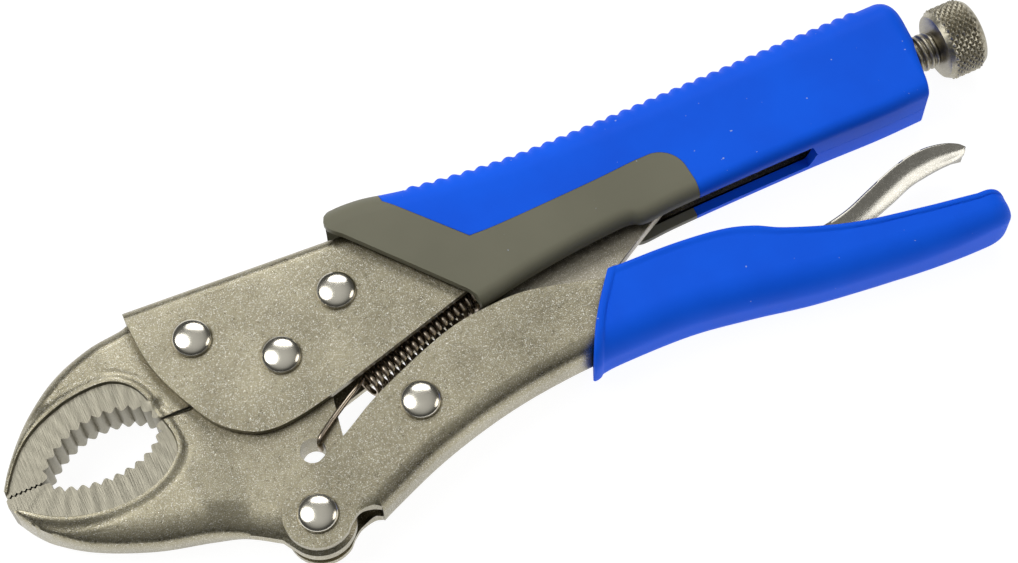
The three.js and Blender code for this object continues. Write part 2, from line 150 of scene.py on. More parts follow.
def smooth_step(value):
    """Soft rise from 0 to 1 as the value goes from 0 to 1."""
    value = min(1.0, max(0.0, value))
    return value * value * (3 - 2 * value)


def toothed(points, pitch, depth, rounding=0.16):
    """Zigzag along a line; crests stand on the left when depth is positive."""
    line = resample(points, 0.05)
    total = 0.05 * (len(line) - 1)
    count = max(1, round(total / pitch))
    profile = [(0.0, 0.0), (0.5 - rounding, 0.86), (0.5, 1.0), (0.5 + rounding, 0.86)]
    out = []
    for tooth in range(count):
        for share, lift in profile:
            index = (tooth + share) / count * (len(line) - 1)
            low = min(int(index), len(line) - 2)
            part = index - low
            (x0, y0), (x1, y1) = line[low], line[low + 1]
            length = hypot(x1 - x0, y1 - y0) or 1
            out.append((x0 + (x1 - x0) * part - (y1 - y0) / length * lift * depth,
                        y0 + (y1 - y0) * part + (x1 - x0) / length * lift * depth))
    out.append(line[-1])
    return out


# Meshes

def linked(name, data):
    """New object of the data, in the scene."""
    made = bpy.data.objects.new(name, data)
    bpy.context.collection.objects.link(made)
    return made


def closed_mesh(name, points, faces):
    """Mesh of drawing points, placed in the row frame, with its faces turned outwards."""
    mesh = bpy.data.meshes.new(name)
    mesh.from_pydata([place(p) for p in points], [], faces)
    mesh.validate()
    work = bmesh.new()
    work.from_mesh(mesh)
    bmesh.ops.recalc_face_normals(work, faces=work.faces)
    work.to_mesh(mesh)
    work.free()
    return mesh


def finish_piece(name, points, faces, body, material, replaces=(), crease=35, bevel=0.0):
    """Mesh object from drawing points, smooth up to the crease angle, riding on its body."""
    mesh = closed_mesh(name, points, faces)
    mesh.polygons.foreach_set("use_smooth", [True] * len(mesh.polygons))
    mesh.set_sharp_from_angle(angle=radians(crease))
    mesh.update()
    piece = linked(name, mesh)
    mesh.materials.append(material)
    if bevel:
        add_bevel(piece, bevel)
    if body:
        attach(piece, body)
    if replaces:
        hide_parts(*replaces)
    return piece


def add_bevel(piece, width):
    bevel = piece.modifiers.new("edge", "BEVEL")
    bevel.width = width * MM
    bevel.segments = 3
    bevel.limit_method = "ANGLE"
    bevel.angle_limit = radians(48)
    bevel.harden_normals = True


def grid_faces(rows, columns):
    """Quads of a grid whose rows close on themselves."""
    faces = []
    for r in range(rows - 1):
        for c in range(columns):
            n = (c + 1) % columns
            faces.append((r * columns + c, r * columns + n, (r + 1) * columns + n, (r + 1) * columns + c))
    return faces


def tube_of_rings(rings):
    """Points and faces of a closed skin over rings of equal length, with flat ends."""
    count = len(rings[0])
    points = [p for ring in rings for p in ring]
    faces = grid_faces(len(rings), count)
    faces.append(tuple(range(count))[::-1])
    last = (len(rings) - 1) * count
    faces.append(tuple(range(last, last + count)))
    return points, faces


def closed_layers(outer, inner, cells):
    """Closed skin of the same cells on two layers of points, with walls along the cells' open edges."""
    count = len(outer)
    open_edges = {}
    faces = []
    for cell in cells:
        faces.append(cell)
        faces.append(tuple(v + count for v in reversed(cell)))
        for edge in zip(cell, cell[1:] + cell[:1]):
            if edge[::-1] in open_edges:
                del open_edges[edge[::-1]]
            else:
                open_edges[edge] = True
    faces += [(b, a, a + count, b + count) for a, b in open_edges]
    points = outer + inner
    used = sorted({v for face in faces for v in face})
    renumber = {v: i for i, v in enumerate(used)}
    return [points[v] for v in used], [tuple(renumber[v] for v in face) for face in faces]


def sheet_of_grid(outer, inner, keep=None):
    """Closed sheet between two grids of the same size; keep(row, column) says which cells exist."""
    rows, columns = len(outer), len(outer[0])
    cells = [(r * columns + c, r * columns + c + 1, (r + 1) * columns + c + 1, (r + 1) * columns + c)
             for r in range(rows - 1) for c in range(columns - 1) if not keep or keep(r, c)]
    return closed_layers([p for row in outer for p in row], [p for row in inner for p in row], cells)


def nearest_spots(points, line):
    """Distance from each point to each span of the line, the share along the span, and the spans' lengths."""
    pts = np.array(points, float)[:, None, :]
    starts = np.array(line[:-1], float)[None]
    spans = np.array(line[1:], float)[None] - starts
    share = np.clip(((pts - starts) * spans).sum(2) / np.maximum((spans ** 2).sum(2), 1e-12), 0, 1)
    gap = np.hypot(*(pts - starts - spans * share[..., None]).transpose(2, 0, 1))
    return gap, share, np.hypot(spans[0, :, 0], spans[0, :, 1])


def distance_to(points, line):
    """Distance of each point to a line of points."""
    return nearest_spots(points, line)[0].min(1)


def along_line(points, line):
    """Length along a line, in millimetres, of the spot nearest to each point."""
    gap, share, lengths = nearest_spots(points, line)
    starts = np.concatenate([[0], np.cumsum(lengths)[:-1]])
    best = gap.argmin(1)
    return starts[best] + share[np.arange(len(points)), best] * lengths[best]


def inside(points, outline):
    """Whether each point lies within a closed outline."""
    pts = np.array(points, float)
    result = np.zeros(len(pts), bool)
    x, y = pts[:, 0], pts[:, 1]
    for (x0, y0), (x1, y1) in zip(outline, outline[1:] + outline[:1]):
        if y0 == y1:
            continue
        crosses = ((y0 > y) != (y1 > y)) & (x < (x1 - x0) * (y - y0) / (y1 - y0) + x0)
        result ^= crosses
    return result


def relief_plate(outline, holes, guides, height, spacing):
    """Plate whose half thickness at a point is height(points); guides are lines kept as edges."""
    loops = [outline] + holes
    points, edges = [], []
    for loop in loops:
        start = len(points)
        points += loop
        edges += [(start + i, start + (i + 1) % len(loop)) for i in range(len(loop))]
    for guide in guides:
        start = len(points)
        points += guide
        edges += [(start + i, start + i + 1) for i in range(len(guide) - 1)]
    boundary = np.array(points, float)
    xs = np.arange(boundary[:, 0].min(), boundary[:, 0].max(), spacing)
    ys = np.arange(boundary[:, 1].min(), boundary[:, 1].max(), spacing * 0.87)
    fill = [(x + (spacing / 2 if row % 2 else 0), y) for row, y in enumerate(ys) for x in xs]
    within = inside(fill, outline)
    for hole in holes:
        within &= ~inside(fill, hole)
    fill = [p for p, ok in zip(fill, within) if ok]
    lines = [loop + loop[:1] for loop in loops] + guides
    clear = np.min([distance_to(fill, line) for line in lines], axis=0) > spacing * 0.55
    points = points + [p for p, ok in zip(fill, clear) if ok]
    made = delaunay_2d_cdt([Vector(p) for p in points], edges, [], 0, 1e-5)
    flat = [(v.x, v.y) for v in made[0]]
    triangles = [tuple(face) for face in made[2]]
    centres = [np.mean([flat[v] for v in face], axis=0) for face in triangles]
    good = inside(centres, outline)
    for hole in holes:
        good &= ~inside(centres, hole)
    triangles = [face for face, ok in zip(triangles, good) if ok]
    half = height(flat)
    top = [(p[0], p[1], h) for p, h in zip(flat, half)]
    bottom = [(p[0], p[1], -h) for p, h in zip(flat, half)]
    return closed_layers(top, bottom, [turned_up(face, flat) for face in triangles])


def turned_up(face, flat):
    """A triangle's corners in anticlockwise order."""
    a, b, c = face
    turn = ((flat[b][0] - flat[a][0]) * (flat[c][1] - flat[a][1])
            - (flat[c][0] - flat[a][0]) * (flat[b][1] - flat[a][1]))
    return (a, b, c) if turn >= 0 else (a, c, b)


def flat_plate(outline, half):
    """Plain plate of an outline as a closed mesh."""
    return relief_plate(distinct(outline), [], [], lambda points: np.full(len(points), half), PLATE_SPACING)


def distinct(outline):
    """The outline without points that repeat the one before."""
    return [p for i, p in enumerate(outline)
            if i == 0 or hypot(p[0] - outline[i - 1][0], p[1] - outline[i - 1][1]) > 1e-4]


# Materials

def new_material(name):
    material = bpy.data.materials.new(name)
    material.use_nodes = True
    tree = material.node_tree
    shader = tree.nodes["Principled BSDF"]
    coords = tree.nodes.new("ShaderNodeTexCoord")
    return material, tree, shader, coords.outputs["Object"]


def set_inputs(tree, node, inputs):
    """Sets a node's inputs to values, or links them to other nodes' outputs."""
    for socket, given in inputs.items():
        if isinstance(given, bpy.types.NodeSocket):
            tree.links.new(given, node.inputs[socket])
        else:
            node.inputs[socket].default_value = given
    return node


def noise(tree, coords, per_metre, detail=3.0, roughness=0.55):
    inputs = {"Vector": coords, "Scale": per_metre, "Detail": detail, "Roughness": roughness}
    return set_inputs(tree, tree.nodes.new("ShaderNodeTexNoise"), inputs).outputs["Fac"]


def mix(tree, factor, first, second, kind="MIX"):
    """Blend of two colours."""
    node = tree.nodes.new("ShaderNodeMix")
    node.data_type = "RGBA"
    node.blend_type = kind
    return set_inputs(tree, node, {"Factor": factor, "A": first, "B": second}).outputs["Result"]


def ramp(tree, value, stops):
    """Colours along a value, from stops of (position, colour)."""
    node = tree.nodes.new("ShaderNodeValToRGB")
    elements = node.color_ramp.elements
    while len(elements) < len(stops):
        elements.new(0.5)
    for element, (at, colour) in zip(elements, stops):
        element.position = at
        element.color = (*colour, 1.0)
    tree.links.new(value, node.inputs["Fac"])
    return node.outputs["Color"]


def spread(tree, value, low, high):
    """The middle of a noise's range turned into low to high."""
    inputs = {"Value": value, "From Min": 0.3, "From Max": 0.7, "To Min": low, "To Max": high}
    return set_inputs(tree, tree.nodes.new("ShaderNodeMapRange"), inputs).outputs["Result"]


def bump(tree, heights, strength, distance, broad=None):
    """Bumps from several heights, stacked in order, on a broad waviness of its own depth."""
    layers = [{"Height": broad[0], "Distance": broad[1]}] if broad else []
    layers += [{"Height": value, "Strength": strength * weight, "Distance": distance}
               for value, weight in heights]
    normal = {}
    for layer in layers:
        node = set_inputs(tree, tree.nodes.new("ShaderNodeBump"), {**layer, **normal})
        normal = {"Normal": node.outputs["Normal"]}
    return node.outputs["Normal"]


def blasted_nickel(name, dark, light, rough_low, rough_high, grain_and_glint=0.5):
    """Sand-blasted plate: warm grey metal with a fine blasted texture, bright specks of painted glint, soft
    cloudy stains and painted shade in hollows and under and between parts.
    """
    material, tree, shader, coords = new_material(name)
    clouds = noise(tree, coords, 60, 5)
    grit = noise(tree, coords, 3900, 2, 0.75)
    pits = noise(tree, coords, 1100, 3, 0.65)
    stained = mix(tree, 0.25, ramp(tree, clouds, [(0.3, dark), (0.7, light)]),
                  ramp(tree, pits, [(0.36, dark), (0.6, light)]))
    # Near-white specks mixed into the base colour: painted glint on the blasted metal.
    painted_glints = ramp(tree, grit, [(0.57, (0, 0, 0)), (0.66, (grain_and_glint, grain_and_glint, grain_and_glint))])
    stains_and_glints = mix(tree, painted_glints, stained, (1.0, 0.99, 0.93, 1.0))
    # Ambient occlusion darkens the base colour in hollows, creases and under and between parts: painted
    # shade.
    occlusion_shade = tree.nodes.new("ShaderNodeAmbientOcclusion")
    occlusion_shade.inputs["Distance"].default_value = 0.0045
    occlusion_shade.samples = 6
    painted_shade = ramp(tree, occlusion_shade.outputs["AO"], [(0.25, (0.30, 0.27, 0.22)), (0.80, (1, 1, 1))])
    wave = noise(tree, coords, 22, 1)
    set_inputs(tree, shader, {
        "Base Color": mix(tree, 1.0, stains_and_glints, painted_shade, "MULTIPLY"), "Metallic": 1.0,
        "Roughness": spread(tree, pits, rough_low, rough_high),
        "Normal": bump(tree, [(grit, grain_and_glint), (pits, grain_and_glint)], 0.7, 0.00010, (wave, 0.0020))})
    return material


def polished_metal(name, colour, rough_low, rough_high):
    material, tree, shader, coords = new_material(name)
    clouds = noise(tree, coords, 240, 4)
    fine = noise(tree, coords, 1500, 2)
    tone = tuple(c * 0.9 for c in colour)
    set_inputs(tree, shader, {
        "Base Color": ramp(tree, clouds, [(0.3, tone), (0.7, colour)]), "Metallic": 1.0,
        "Roughness": spread(tree, clouds, rough_low, rough_high),
        "Normal": bump(tree, [(fine, 0.12), (clouds, 0.25)], 0.5, 0.00005)})
    return material


def ground_steel(name, colour):
    """Bright ground metal with fine scratches across the drawing's X."""
    material, tree, shader, coords = new_material(name)
    stretch = set_inputs(tree, tree.nodes.new("ShaderNodeMapping"), {
        "Vector": coords, "Scale": (1.0, 0.06, 0.4), "Rotation": (0.0, 0.0, radians(8))})
    scratches = noise(tree, stretch.outputs["Vector"], 2600, 3, 0.7)
    tone = tuple(c * 0.72 for c in colour)
    set_inputs(tree, shader, {
        "Base Color": ramp(tree, scratches, [(0.35, tone), (0.65, colour)]), "Metallic": 1.0,
        "Roughness": spread(tree, scratches, 0.34, 0.5),
        "Normal": bump(tree, [(scratches, 1.0)], 0.8, 0.00016)})
    return material


def soft_plastic(name, dark, light, rough_low, rough_high, gloss):
    """Moulded soft plastic: faint mottling, orange peel and a few pale specks of dust."""
    material, tree, shader, coords = new_material(name)
    clouds = noise(tree, coords, 45, 3)
    peel = noise(tree, coords, 2400, 2)
    dust = noise(tree, coords, 900, 1)
    specks = ramp(tree, dust, [(0.80, (0, 0, 0)), (0.82, (0.7, 0.7, 0.7))])
    mottled = ramp(tree, clouds, [(0.3, dark), (0.7, light)])
    set_inputs(tree, shader, {
        "Base Color": mix(tree, specks, mottled, (0.5, 0.6, 0.8, 1)),
        "Roughness": spread(tree, clouds, rough_low, rough_high), "Specular IOR Level": gloss,
        "Normal": bump(tree, [(peel, 0.5), (clouds, 0.2)], 0.3, 0.00006)})
    return material


NICKEL = blasted_nickel("nickel_blasted", (0.236, 0.213, 0.146), (0.432, 0.394, 0.278), 0.26, 0.38, 0.78)
# Lighter copy of the nickel for the link: painted light on its edge band.
NICKEL_LINK_LIT = blasted_nickel("nickel_link_lit", (0.30, 0.272, 0.21), (0.50, 0.46, 0.365), 0.34, 0.48, 0.7)
NICKEL_KNOB = blasted_nickel("nickel_knob", (0.30, 0.275, 0.205), (0.46, 0.425, 0.33), 0.32, 0.44, 0.4)
# Darker copy of the nickel for the lever: painted shade for the dark surroundings it reflects.
NICKEL_LEVER_SHADED = blasted_nickel("nickel_lever_shaded", (0.27, 0.258, 0.228), (0.38, 0.364, 0.32), 0.2, 0.3, 0.25)
GROUND = ground_steel("ground_teeth", (0.36, 0.338, 0.268))
POLISHED = polished_metal("polished_rivet", (0.86, 0.82, 0.71), 0.15, 0.22)
WIRE = polished_metal("spring_wire", (0.46, 0.39, 0.31), 0.2, 0.3)
BLUE = soft_plastic("blue_grip", (0.0028, 0.106, 0.88), (0.0038, 0.128, 0.99), 0.5, 0.58, 0.12)
GREY = soft_plastic("grey_grip", (0.170, 0.166, 0.116), (0.195, 0.190, 0.135), 0.5, 0.6, 0.3)


# Channels

FRAME_REAR_X = 146.6
FRAME_BEND = 3.6
EDGE_BEVEL = 0.42
SIDE_ROWS = 14
UPPER_SPINE = [(-28.6, 25.9), (24, 22.2), (50, 20.4), (FRAME_REAR_X, 20.4)]
CHEEK_EDGE = (spline([(-28.6, 21.7), (-27.7, 11), (-24.6, 1.5), (-19.6, -8.4), (-13.6, -13.6), (-8, -15.3),
                      (-1, -14.9), (6.6, -13.4)], 10)
              + [(44.2, -3.6), (46, -3.0), (56, -2.4), (FRAME_REAR_X, -2.4)])


def channel_section(spine_y, edge_y, half, radius, opening, flat_rows, bend_steps=7, spine_steps=6):
    """Half-loop of a U: from one free edge, round the spine, to the other. opening is +1 when it is below."""
    shoulder = spine_y - opening * radius
    near = [(edge_y + (shoulder - edge_y) * i / flat_rows, half) for i in range(flat_rows)]
    bend = [(shoulder + opening * radius * sin(radians(90 * i / bend_steps)),
             half - radius + radius * cos(radians(90 * i / bend_steps))) for i in range(bend_steps + 1)]
    spine = [(spine_y, (half - radius) * (1 - 2 * i / spine_steps)) for i in range(1, spine_steps)]
    whole = near + bend
    return whole + spine + [(y, -z) for y, z in reversed(whole)]


def at_station(x, section):
    """A section's points at one x."""
    return [(x, y, z) for y, z in section]


def frame_channel():
    edge_x = [x for x, _ in CHEEK_EDGE[:-4]]
    stations = edge_x + list(np.linspace(7.6, 43.4, 26)) + [44.2, 45.2, 46, 50, 56, 80, 110, FRAME_REAR_X]
    stations = sorted(set(round(x, 4) for x in stations))
    outer, inner = [], []
    for x in stations:
        spine_y, edge_y = height_at(UPPER_SPINE, x), height_at(CHEEK_EDGE, x)
        outer.append(at_station(x, channel_section(spine_y, edge_y, CHANNEL_HALF, FRAME_BEND, 1, SIDE_ROWS)))
        inner.append(at_station(x, channel_section(spine_y - SHEET, edge_y, CHANNEL_HALF - SHEET,
                                                   FRAME_BEND - SHEET, 1, SIDE_ROWS)))
    points, faces = sheet_of_grid(outer, inner)
    finish_piece("frame_channel_finished", points, faces, "upper_handle", NICKEL,
                 ["frame_channel"], bevel=EDGE_BEVEL)


LOWER_SPINE = [(6, -42.4), (9.8, -40.8), (21.4, -36.4), (32.7, -33.2), (43.7, -31), (54.3, -29.8),
               (66, -29.3), (84, -29.9), (100, -32.2), (116, -35.1), (138, -38.1), (158, -39)]
LOWER_RIM = [(-10.4, -30.3), (5.1, -23.4), (13.9, -18.7), (25.6, -14), (36, -10.6), (44, -9.4), (55, -9.3),
             (66, -12), (78, -15.4), (92, -17.2), (102, -19.8), (111, -23.4), (128, -28.6), (145, -31.8),
             (158, -34)]
SPINE_START_X = 6.0
LOWER_BEND = 4.2
EAR_RADIUS = 7.9


def lower_channel():
    """Lower handle's U: its spine starts behind the ears, where the sides curl in towards it."""
    ear = arc(HANDLE_PIVOT, EAR_RADIUS, 112, 180, 14)
    upper = ear[::-1] + spline(LOWER_RIM, 5)[1:]
    lower = (arc(HANDLE_PIVOT, EAR_RADIUS, 180, 304, 26)
             + spline([(-1.6, -42.7), (0.9, -41.1), (4.2, -40.7), (SPINE_START_X, -41.6)], 5))
    spine = spline(LOWER_SPINE, 5)
    front = [x for x, _ in arc(HANDLE_PIVOT, EAR_RADIUS, 179, 112, 20)]
    stations = front + list(np.linspace(-10, SPINE_START_X - 0.02, 24)) + [SPINE_START_X]
    stations += list(np.linspace(6.6, 70, 60)) + list(np.linspace(74, 158, 22))
    stations = sorted(set(round(float(x), 4) for x in stations))
    bend_steps, spine_steps = 8, 6
    first_spine = SIDE_ROWS + bend_steps
    outer, inner = [], []
    for x in stations:
        rim_y, low_y = height_at(upper, x), height_at(lower, x)
        spine_y = height_at(spine, max(x, SPINE_START_X))
        curl = smooth_step((x - 1.0) / 4.0)
        for skin, inward in ((outer, 0.0), (inner, SHEET)):
            base, half, bend = spine_y + inward, CHANNEL_HALF - inward, LOWER_BEND - inward
            if x >= SPINE_START_X:
                skin.append(at_station(x, channel_section(base, rim_y, half, bend, -1, SIDE_ROWS, bend_steps,
                                                          spine_steps)))
                continue
            line = []
            for i in range(first_spine + 1):
                y = rim_y + (low_y - rim_y) * i / first_spine
                sunk = min(bend, max(0.0, base + bend - y))
                line.append((x, y, half - curl * (bend - sqrt(max(0.0, bend ** 2 - sunk ** 2)))))
            middle = [(x, low_y, line[-1][2] * (1 - 2 * k / spine_steps)) for k in range(1, spine_steps)]
            skin.append(line + middle + [(px, py, -pz) for px, py, pz in reversed(line)])
    last_spine = first_spine + spine_steps - 1
    start_row = stations.index(SPINE_START_X)
    points, faces = sheet_of_grid(
        outer, inner, lambda r, c: not (r < start_row and first_spine <= c <= last_spine))
    finish_piece("lower_channel_finished", points, faces, "lower_handle", NICKEL,
                 ["lower_channel"], bevel=EDGE_BEVEL)


# Jaws

UPPER_TEETH = [(-59.5, -4.75), (-57.6, -0.9), (-53, 2.6), (-48, 4.7), (-43, 5.4), (-38, 4.9), (-34, 3.4),
               (-31.2, 0.8), (-30.2, -1.9)]
LOWER_TEETH = [(-59.5, -5.15), (-57.4, -7.7), (-53, -9.7), (-48, -10.7), (-43, -10.8), (-38, -9.9),
               (-34, -8), (-31.2, -5.2), (-30.2, -2.25)]
UPPER_BACK = [(-30, 22.9), (-38.3, 21.2), (-46, 18.7), (-52.5, 15), (-59.1, 9.2), (-64.8, 1.8), (-67.8, -3)]
LOWER_BACK = [(-68.2, -7), (-65.4, -12), (-61.7, -16.4), (-54.4, -22.1), (-42.3, -27.6), (-30, -31.1),
              (-23, -34), (-16.6, -38.2)]
UPPER_RIM = [(-67.2, -3.6), (-65.2, -0.4), (-61.2, 4.4), (-56.2, 7.9), (-49.2, 10.5), (-42.9, 11.4),
             (-37.4, 10.9), (-33.4, 8.2), (-31.2, 4), (-30.3, -1.9)]
LOWER_RIM_LINE = [(-29.7, -2.25), (-28.9, -6.5), (-29.2, -10), (-31.4, -12.9), (-35.4, -15.5),
                  (-41.6, -17.1), (-48.6, -17), (-55.6, -15.3), (-61.4, -12.4), (-66.6, -8.4)]
TOOTH_PITCH = 2.75
TOOTH_DEPTH = 1.15
TIP_PITCH = 1.15
TIP_DEPTH = 0.45
HUB_RADIUS = 9.6
HUB_GAP = 0.12
SPRING_HOLE_RADIUS = 2.9


def offset_line(line, amount):
    """The line moved to its left by amount."""
    out = []
    for i, (x, y) in enumerate(line):
        x0, y0 = line[max(0, i - 1)]
        x1, y1 = line[min(len(line) - 1, i + 1)]
        length = hypot(x1 - x0, y1 - y0) or 1
        out.append((x - (y1 - y0) / length * amount, y + (x1 - x0) / length * amount))
    return out


# Where the thin web begins to rise to the nose, from top to bottom
NOSE_EDGE = spline([(-29, 30), (-28.6, 22), (-27, 12), (-24.5, 2), (-21.5, -7), (-19.5, -15), (-19, -23),
                    (-20, -31), (-22, -40)], 8)
NOSE_RISE = 11.0
BEAD_WALL = 0.3
BEAD_CROWN = 0.4
BEAD_WIDTH = 1.7
BEAD_LIFT = 0.34
BEAD_SHOULDER = 0.8
GROOVE_WIDTH = 1.4
GROOVE_DEPTH = 0.1
FLUTE_DEPTH = 0.09
DIMPLE = (-29.6, 0.6)
DIMPLE_RADIUS = 3.4
DIMPLE_DEPTH = 0.5
JOINT_CHAMFER = 0.3
JOINT_DROP = 0.12
JOINT_GUIDE = 0.4
TIP_X = -67.5
TIP_BLEND = 14
THINNEST = 1.4
BODY_HALF = NOSE_HALF - BEAD_LIFT


def jaw_relief(back, rim, band, crest_line, interface, edge_radius, edge_drop):
    """Half thickness of a jaw: body, raised bead, fluted ground band at the teeth, thin web behind."""
    edge_y, edge_x = zip(*[(y, x) for x, y in reversed(NOSE_EDGE)])

    def height(points):
        to_back = distance_to(points, back)
        to_rim = distance_to(points, rim) * np.where(inside(points, band), -1.0, 1.0)
        to_interface = distance_to(points, interface)
        phase = along_line(points, crest_line) / TOOTH_PITCH
        out = np.empty(len(points))
        for i, (x, y) in enumerate(points):
            into_nose = float(np.interp(y, edge_y, edge_x)) - x
            half = WEB_HALF + (BODY_HALF - WEB_HALF) * smooth_step(into_nose / NOSE_RISE)
            half -= DIMPLE_DEPTH * smooth_step(1 - hypot(x - DIMPLE[0], y - DIMPLE[1]) / DIMPLE_RADIUS)
            reach = edge_radius * (0.3 + 0.7 * smooth_step((x - TIP_X) / TIP_BLEND))
            if to_back[i] < reach:
                short = 1 - to_back[i] / reach
                fall = 0.5 * (1 - sqrt(max(0.0, 1 - short ** 2))) + 0.5 * short ** 1.6
                half -= edge_drop * reach / edge_radius * fall
            ground = GROUND_HALF - FLUTE_DEPTH * abs(sin(pi * phase[i])) ** 1.5
            side = to_rim[i]
            if side <= -BEAD_WALL:
                half = ground
            elif side < 0:
                half = ground + (half + BEAD_LIFT * BEAD_SHOULDER - ground) * (1 + side / BEAD_WALL)
            elif side < BEAD_CROWN:
                swell = (1 - BEAD_SHOULDER) * sin(pi / 2 * side / BEAD_CROWN)
                half += BEAD_LIFT * (BEAD_SHOULDER + swell)
            elif side < BEAD_WIDTH:
                half += BEAD_LIFT * cos(pi / 2 * (side - BEAD_CROWN) / (BEAD_WIDTH - BEAD_CROWN)) ** 1.2
            elif side < BEAD_WIDTH + GROOVE_WIDTH:
                half -= GROOVE_DEPTH * sin(pi * (side - BEAD_WIDTH) / GROOVE_WIDTH)
            if to_interface[i] < JOINT_CHAMFER:
                half -= JOINT_DROP * (1 - to_interface[i] / JOINT_CHAMFER)
            out[i] = max(half, THINNEST)
        return out
    return height


def paint_band(piece, band):
    """Gives the faces of the ground band and the tooth flanks the ground finish."""
    mesh = piece.data
    mesh.materials.append(GROUND)
    centres = [((Vector(face.center) - ORIGIN) / MM) for face in mesh.polygons]
    flags = inside([(c.x, c.y) for c in centres], band)
    for face, ground in zip(mesh.polygons, flags):
        face.material_index = int(ground)


def relief_guides(rim, interface, outline):
    """Lines along the bead and the joint that the mesh keeps as edges."""
    amounts = (0, -BEAD_WALL, BEAD_CROWN, BEAD_WIDTH / 2, BEAD_WIDTH, BEAD_WIDTH + GROOVE_WIDTH / 2)
    lines = [offset_line(rim, amount) for amount in amounts]
    lines.append(offset_line(interface, JOINT_GUIDE))
    return [line for line in (trim(line, outline) for line in lines) if len(line) > 2]


def trim(line, outline):
    """The longest run of the line that lies well within the outline."""
    flags = inside(line, outline) & (distance_to(line, outline + outline[:1]) > 0.25)
    best, run = [], []
    for point, ok in zip(line, flags):
        run = run + [point] if ok else []
        if len(run) > len(best):
            best = run
    return best


def build_jaw(node, body, outline, holes, back, rim, band, crest_line, interface, edge_radius, edge_drop):
    """Finished jaw from its outline and the lines that shape its relief."""
    height = jaw_relief(back, rim, band, crest_line, interface, edge_radius, edge_drop)
    guides = relief_guides(rim, interface, outline)
    points, faces = relief_plate(distinct(outline), holes, guides, height, JAW_SPACING)
    piece = finish_piece(node + "_finished", points, faces, body, NICKEL, [node], crease=40)
    paint_band(piece, band)


def upper_jaw():
    back = resample(spline(UPPER_BACK, 8), 0.5)
    crest_line = spline(UPPER_TEETH, 8)
    teeth = (toothed([(-67.8, -4.4), (-59.6, -4.4)], TIP_PITCH, -TIP_DEPTH)
             + toothed(crest_line, TOOTH_PITCH, -TOOTH_DEPTH))
    top = resample([(24.5, 1.4), (24.5, 19), (-28.2, 22.7)], 1.2)
    joint = arc(JAW_PIVOT, HUB_RADIUS + HUB_GAP, 191.8, 8, 60)
    outline = back + teeth + joint + top
    rim = resample(spline(UPPER_RIM, 8), 0.4)
    band = [(-69, -3.6)] + rim + [(-30.3, -2.4), (-30.3, -8), (-69, -8)]
    interface = resample([(-30.2, -1.9), joint[0]], 0.4) + joint[:30]
    build_jaw("upper_jaw", "upper_handle", outline, [], back, rim, band, crest_line, interface,
              edge_radius=3.0, edge_drop=2.2)


def lower_jaw():
    back = resample(spline(LOWER_BACK, 8), 0.5)
    crest_line = spline(LOWER_TEETH, 8)
    teeth = (toothed([(-68.1, -5.35), (-60.0, -5.35)], TIP_PITCH, TIP_DEPTH)
             + toothed(crest_line, TOOTH_PITCH, TOOTH_DEPTH))
    tail = arc(HANDLE_PIVOT, 8.2, 12, -150, 40)
    rear = resample([(6.6, -13.5), (5.6, -19), (4.6, -25)], 0.8)
    joint = arc(JAW_PIVOT, HUB_RADIUS, 193.3, -10, 60)
    outline = teeth + joint + rear + tail + back[::-1]
    hole = arc(SPRING_HOLE, SPRING_HOLE_RADIUS, 0, 352, 44)
    rim = resample(spline(LOWER_RIM_LINE, 8), 0.4)
    band = rim + [(-69.5, -7.6), (-69.5, 0), (-30.2, 0)]
    interface = (resample([(-30.2, -2.25), joint[0]], 0.4) + joint[:30])[::-1]
    build_jaw("lower_jaw", "lower_jaw", outline, [hole], back + tail[::-1], rim, band, crest_line, interface,
              edge_radius=7.2, edge_drop=3.4)


# Turned pieces

def lathe_z(profile, centre, around=64):
    """Skin of a profile of (radius, z) turned about the Z axis; its ends lie on the axis."""
    angles = [2 * pi * i / around for i in range(around)]
    return tube_of_rings([[(centre[0] + radius * cos(a), centre[1] + radius * sin(a), z) for a in angles]
                          for radius, z in profile])


RIVET_RADIUS = 4.65
RIVET_SHANK = 2.8
RIVET_RIM = 0.3
RIVET_DOME = 2.0
RIVET_SEAT = CHANNEL_HALF + 0.1


def rivet(name, centre, body):
    """Rivet with a low dome on each side of the tool."""
    rim = RIVET_SEAT + RIVET_RIM
    head = [(RIVET_SHANK, RIVET_SEAT), (RIVET_RADIUS - 0.15, RIVET_SEAT),
            (RIVET_RADIUS - 0.03, RIVET_SEAT + 0.12), (RIVET_RADIUS, rim)]
    head += [(RIVET_RADIUS * cos(radians(a)), rim + RIVET_DOME * sin(radians(a))) for a in range(6, 90, 6)]
    head.append((0.02, rim + RIVET_DOME))
    profile = [(r, -z) for r, z in reversed(head)] + head
    points, faces = lathe_z(profile, centre)
    finish_piece(name + "_finished", points, faces, body, POLISHED, [name], crease=50)


KNURL_STARTS = 28
KNURL_LEAD = 1.55
KNURL_DEPTH = 0.6
KNOB_CHAMFER = 1.1


def knurl_radius(turn, along, length):
    """Radius of the knob's diamond knurl at a share of a turn and a share of its length."""
    starts = turn * KNURL_STARTS
    lead = along * length / KNURL_LEAD
    left = abs((starts + lead) % 1 - 0.5) * 2
    right = abs((starts - lead) % 1 - 0.5) * 2
    fade = min(1.0, min(along, 1 - along) * 14)
    return KNOB_RADIUS - KNURL_DEPTH + KNURL_DEPTH * min(1.0, min(left, right) * 1.3) * fade


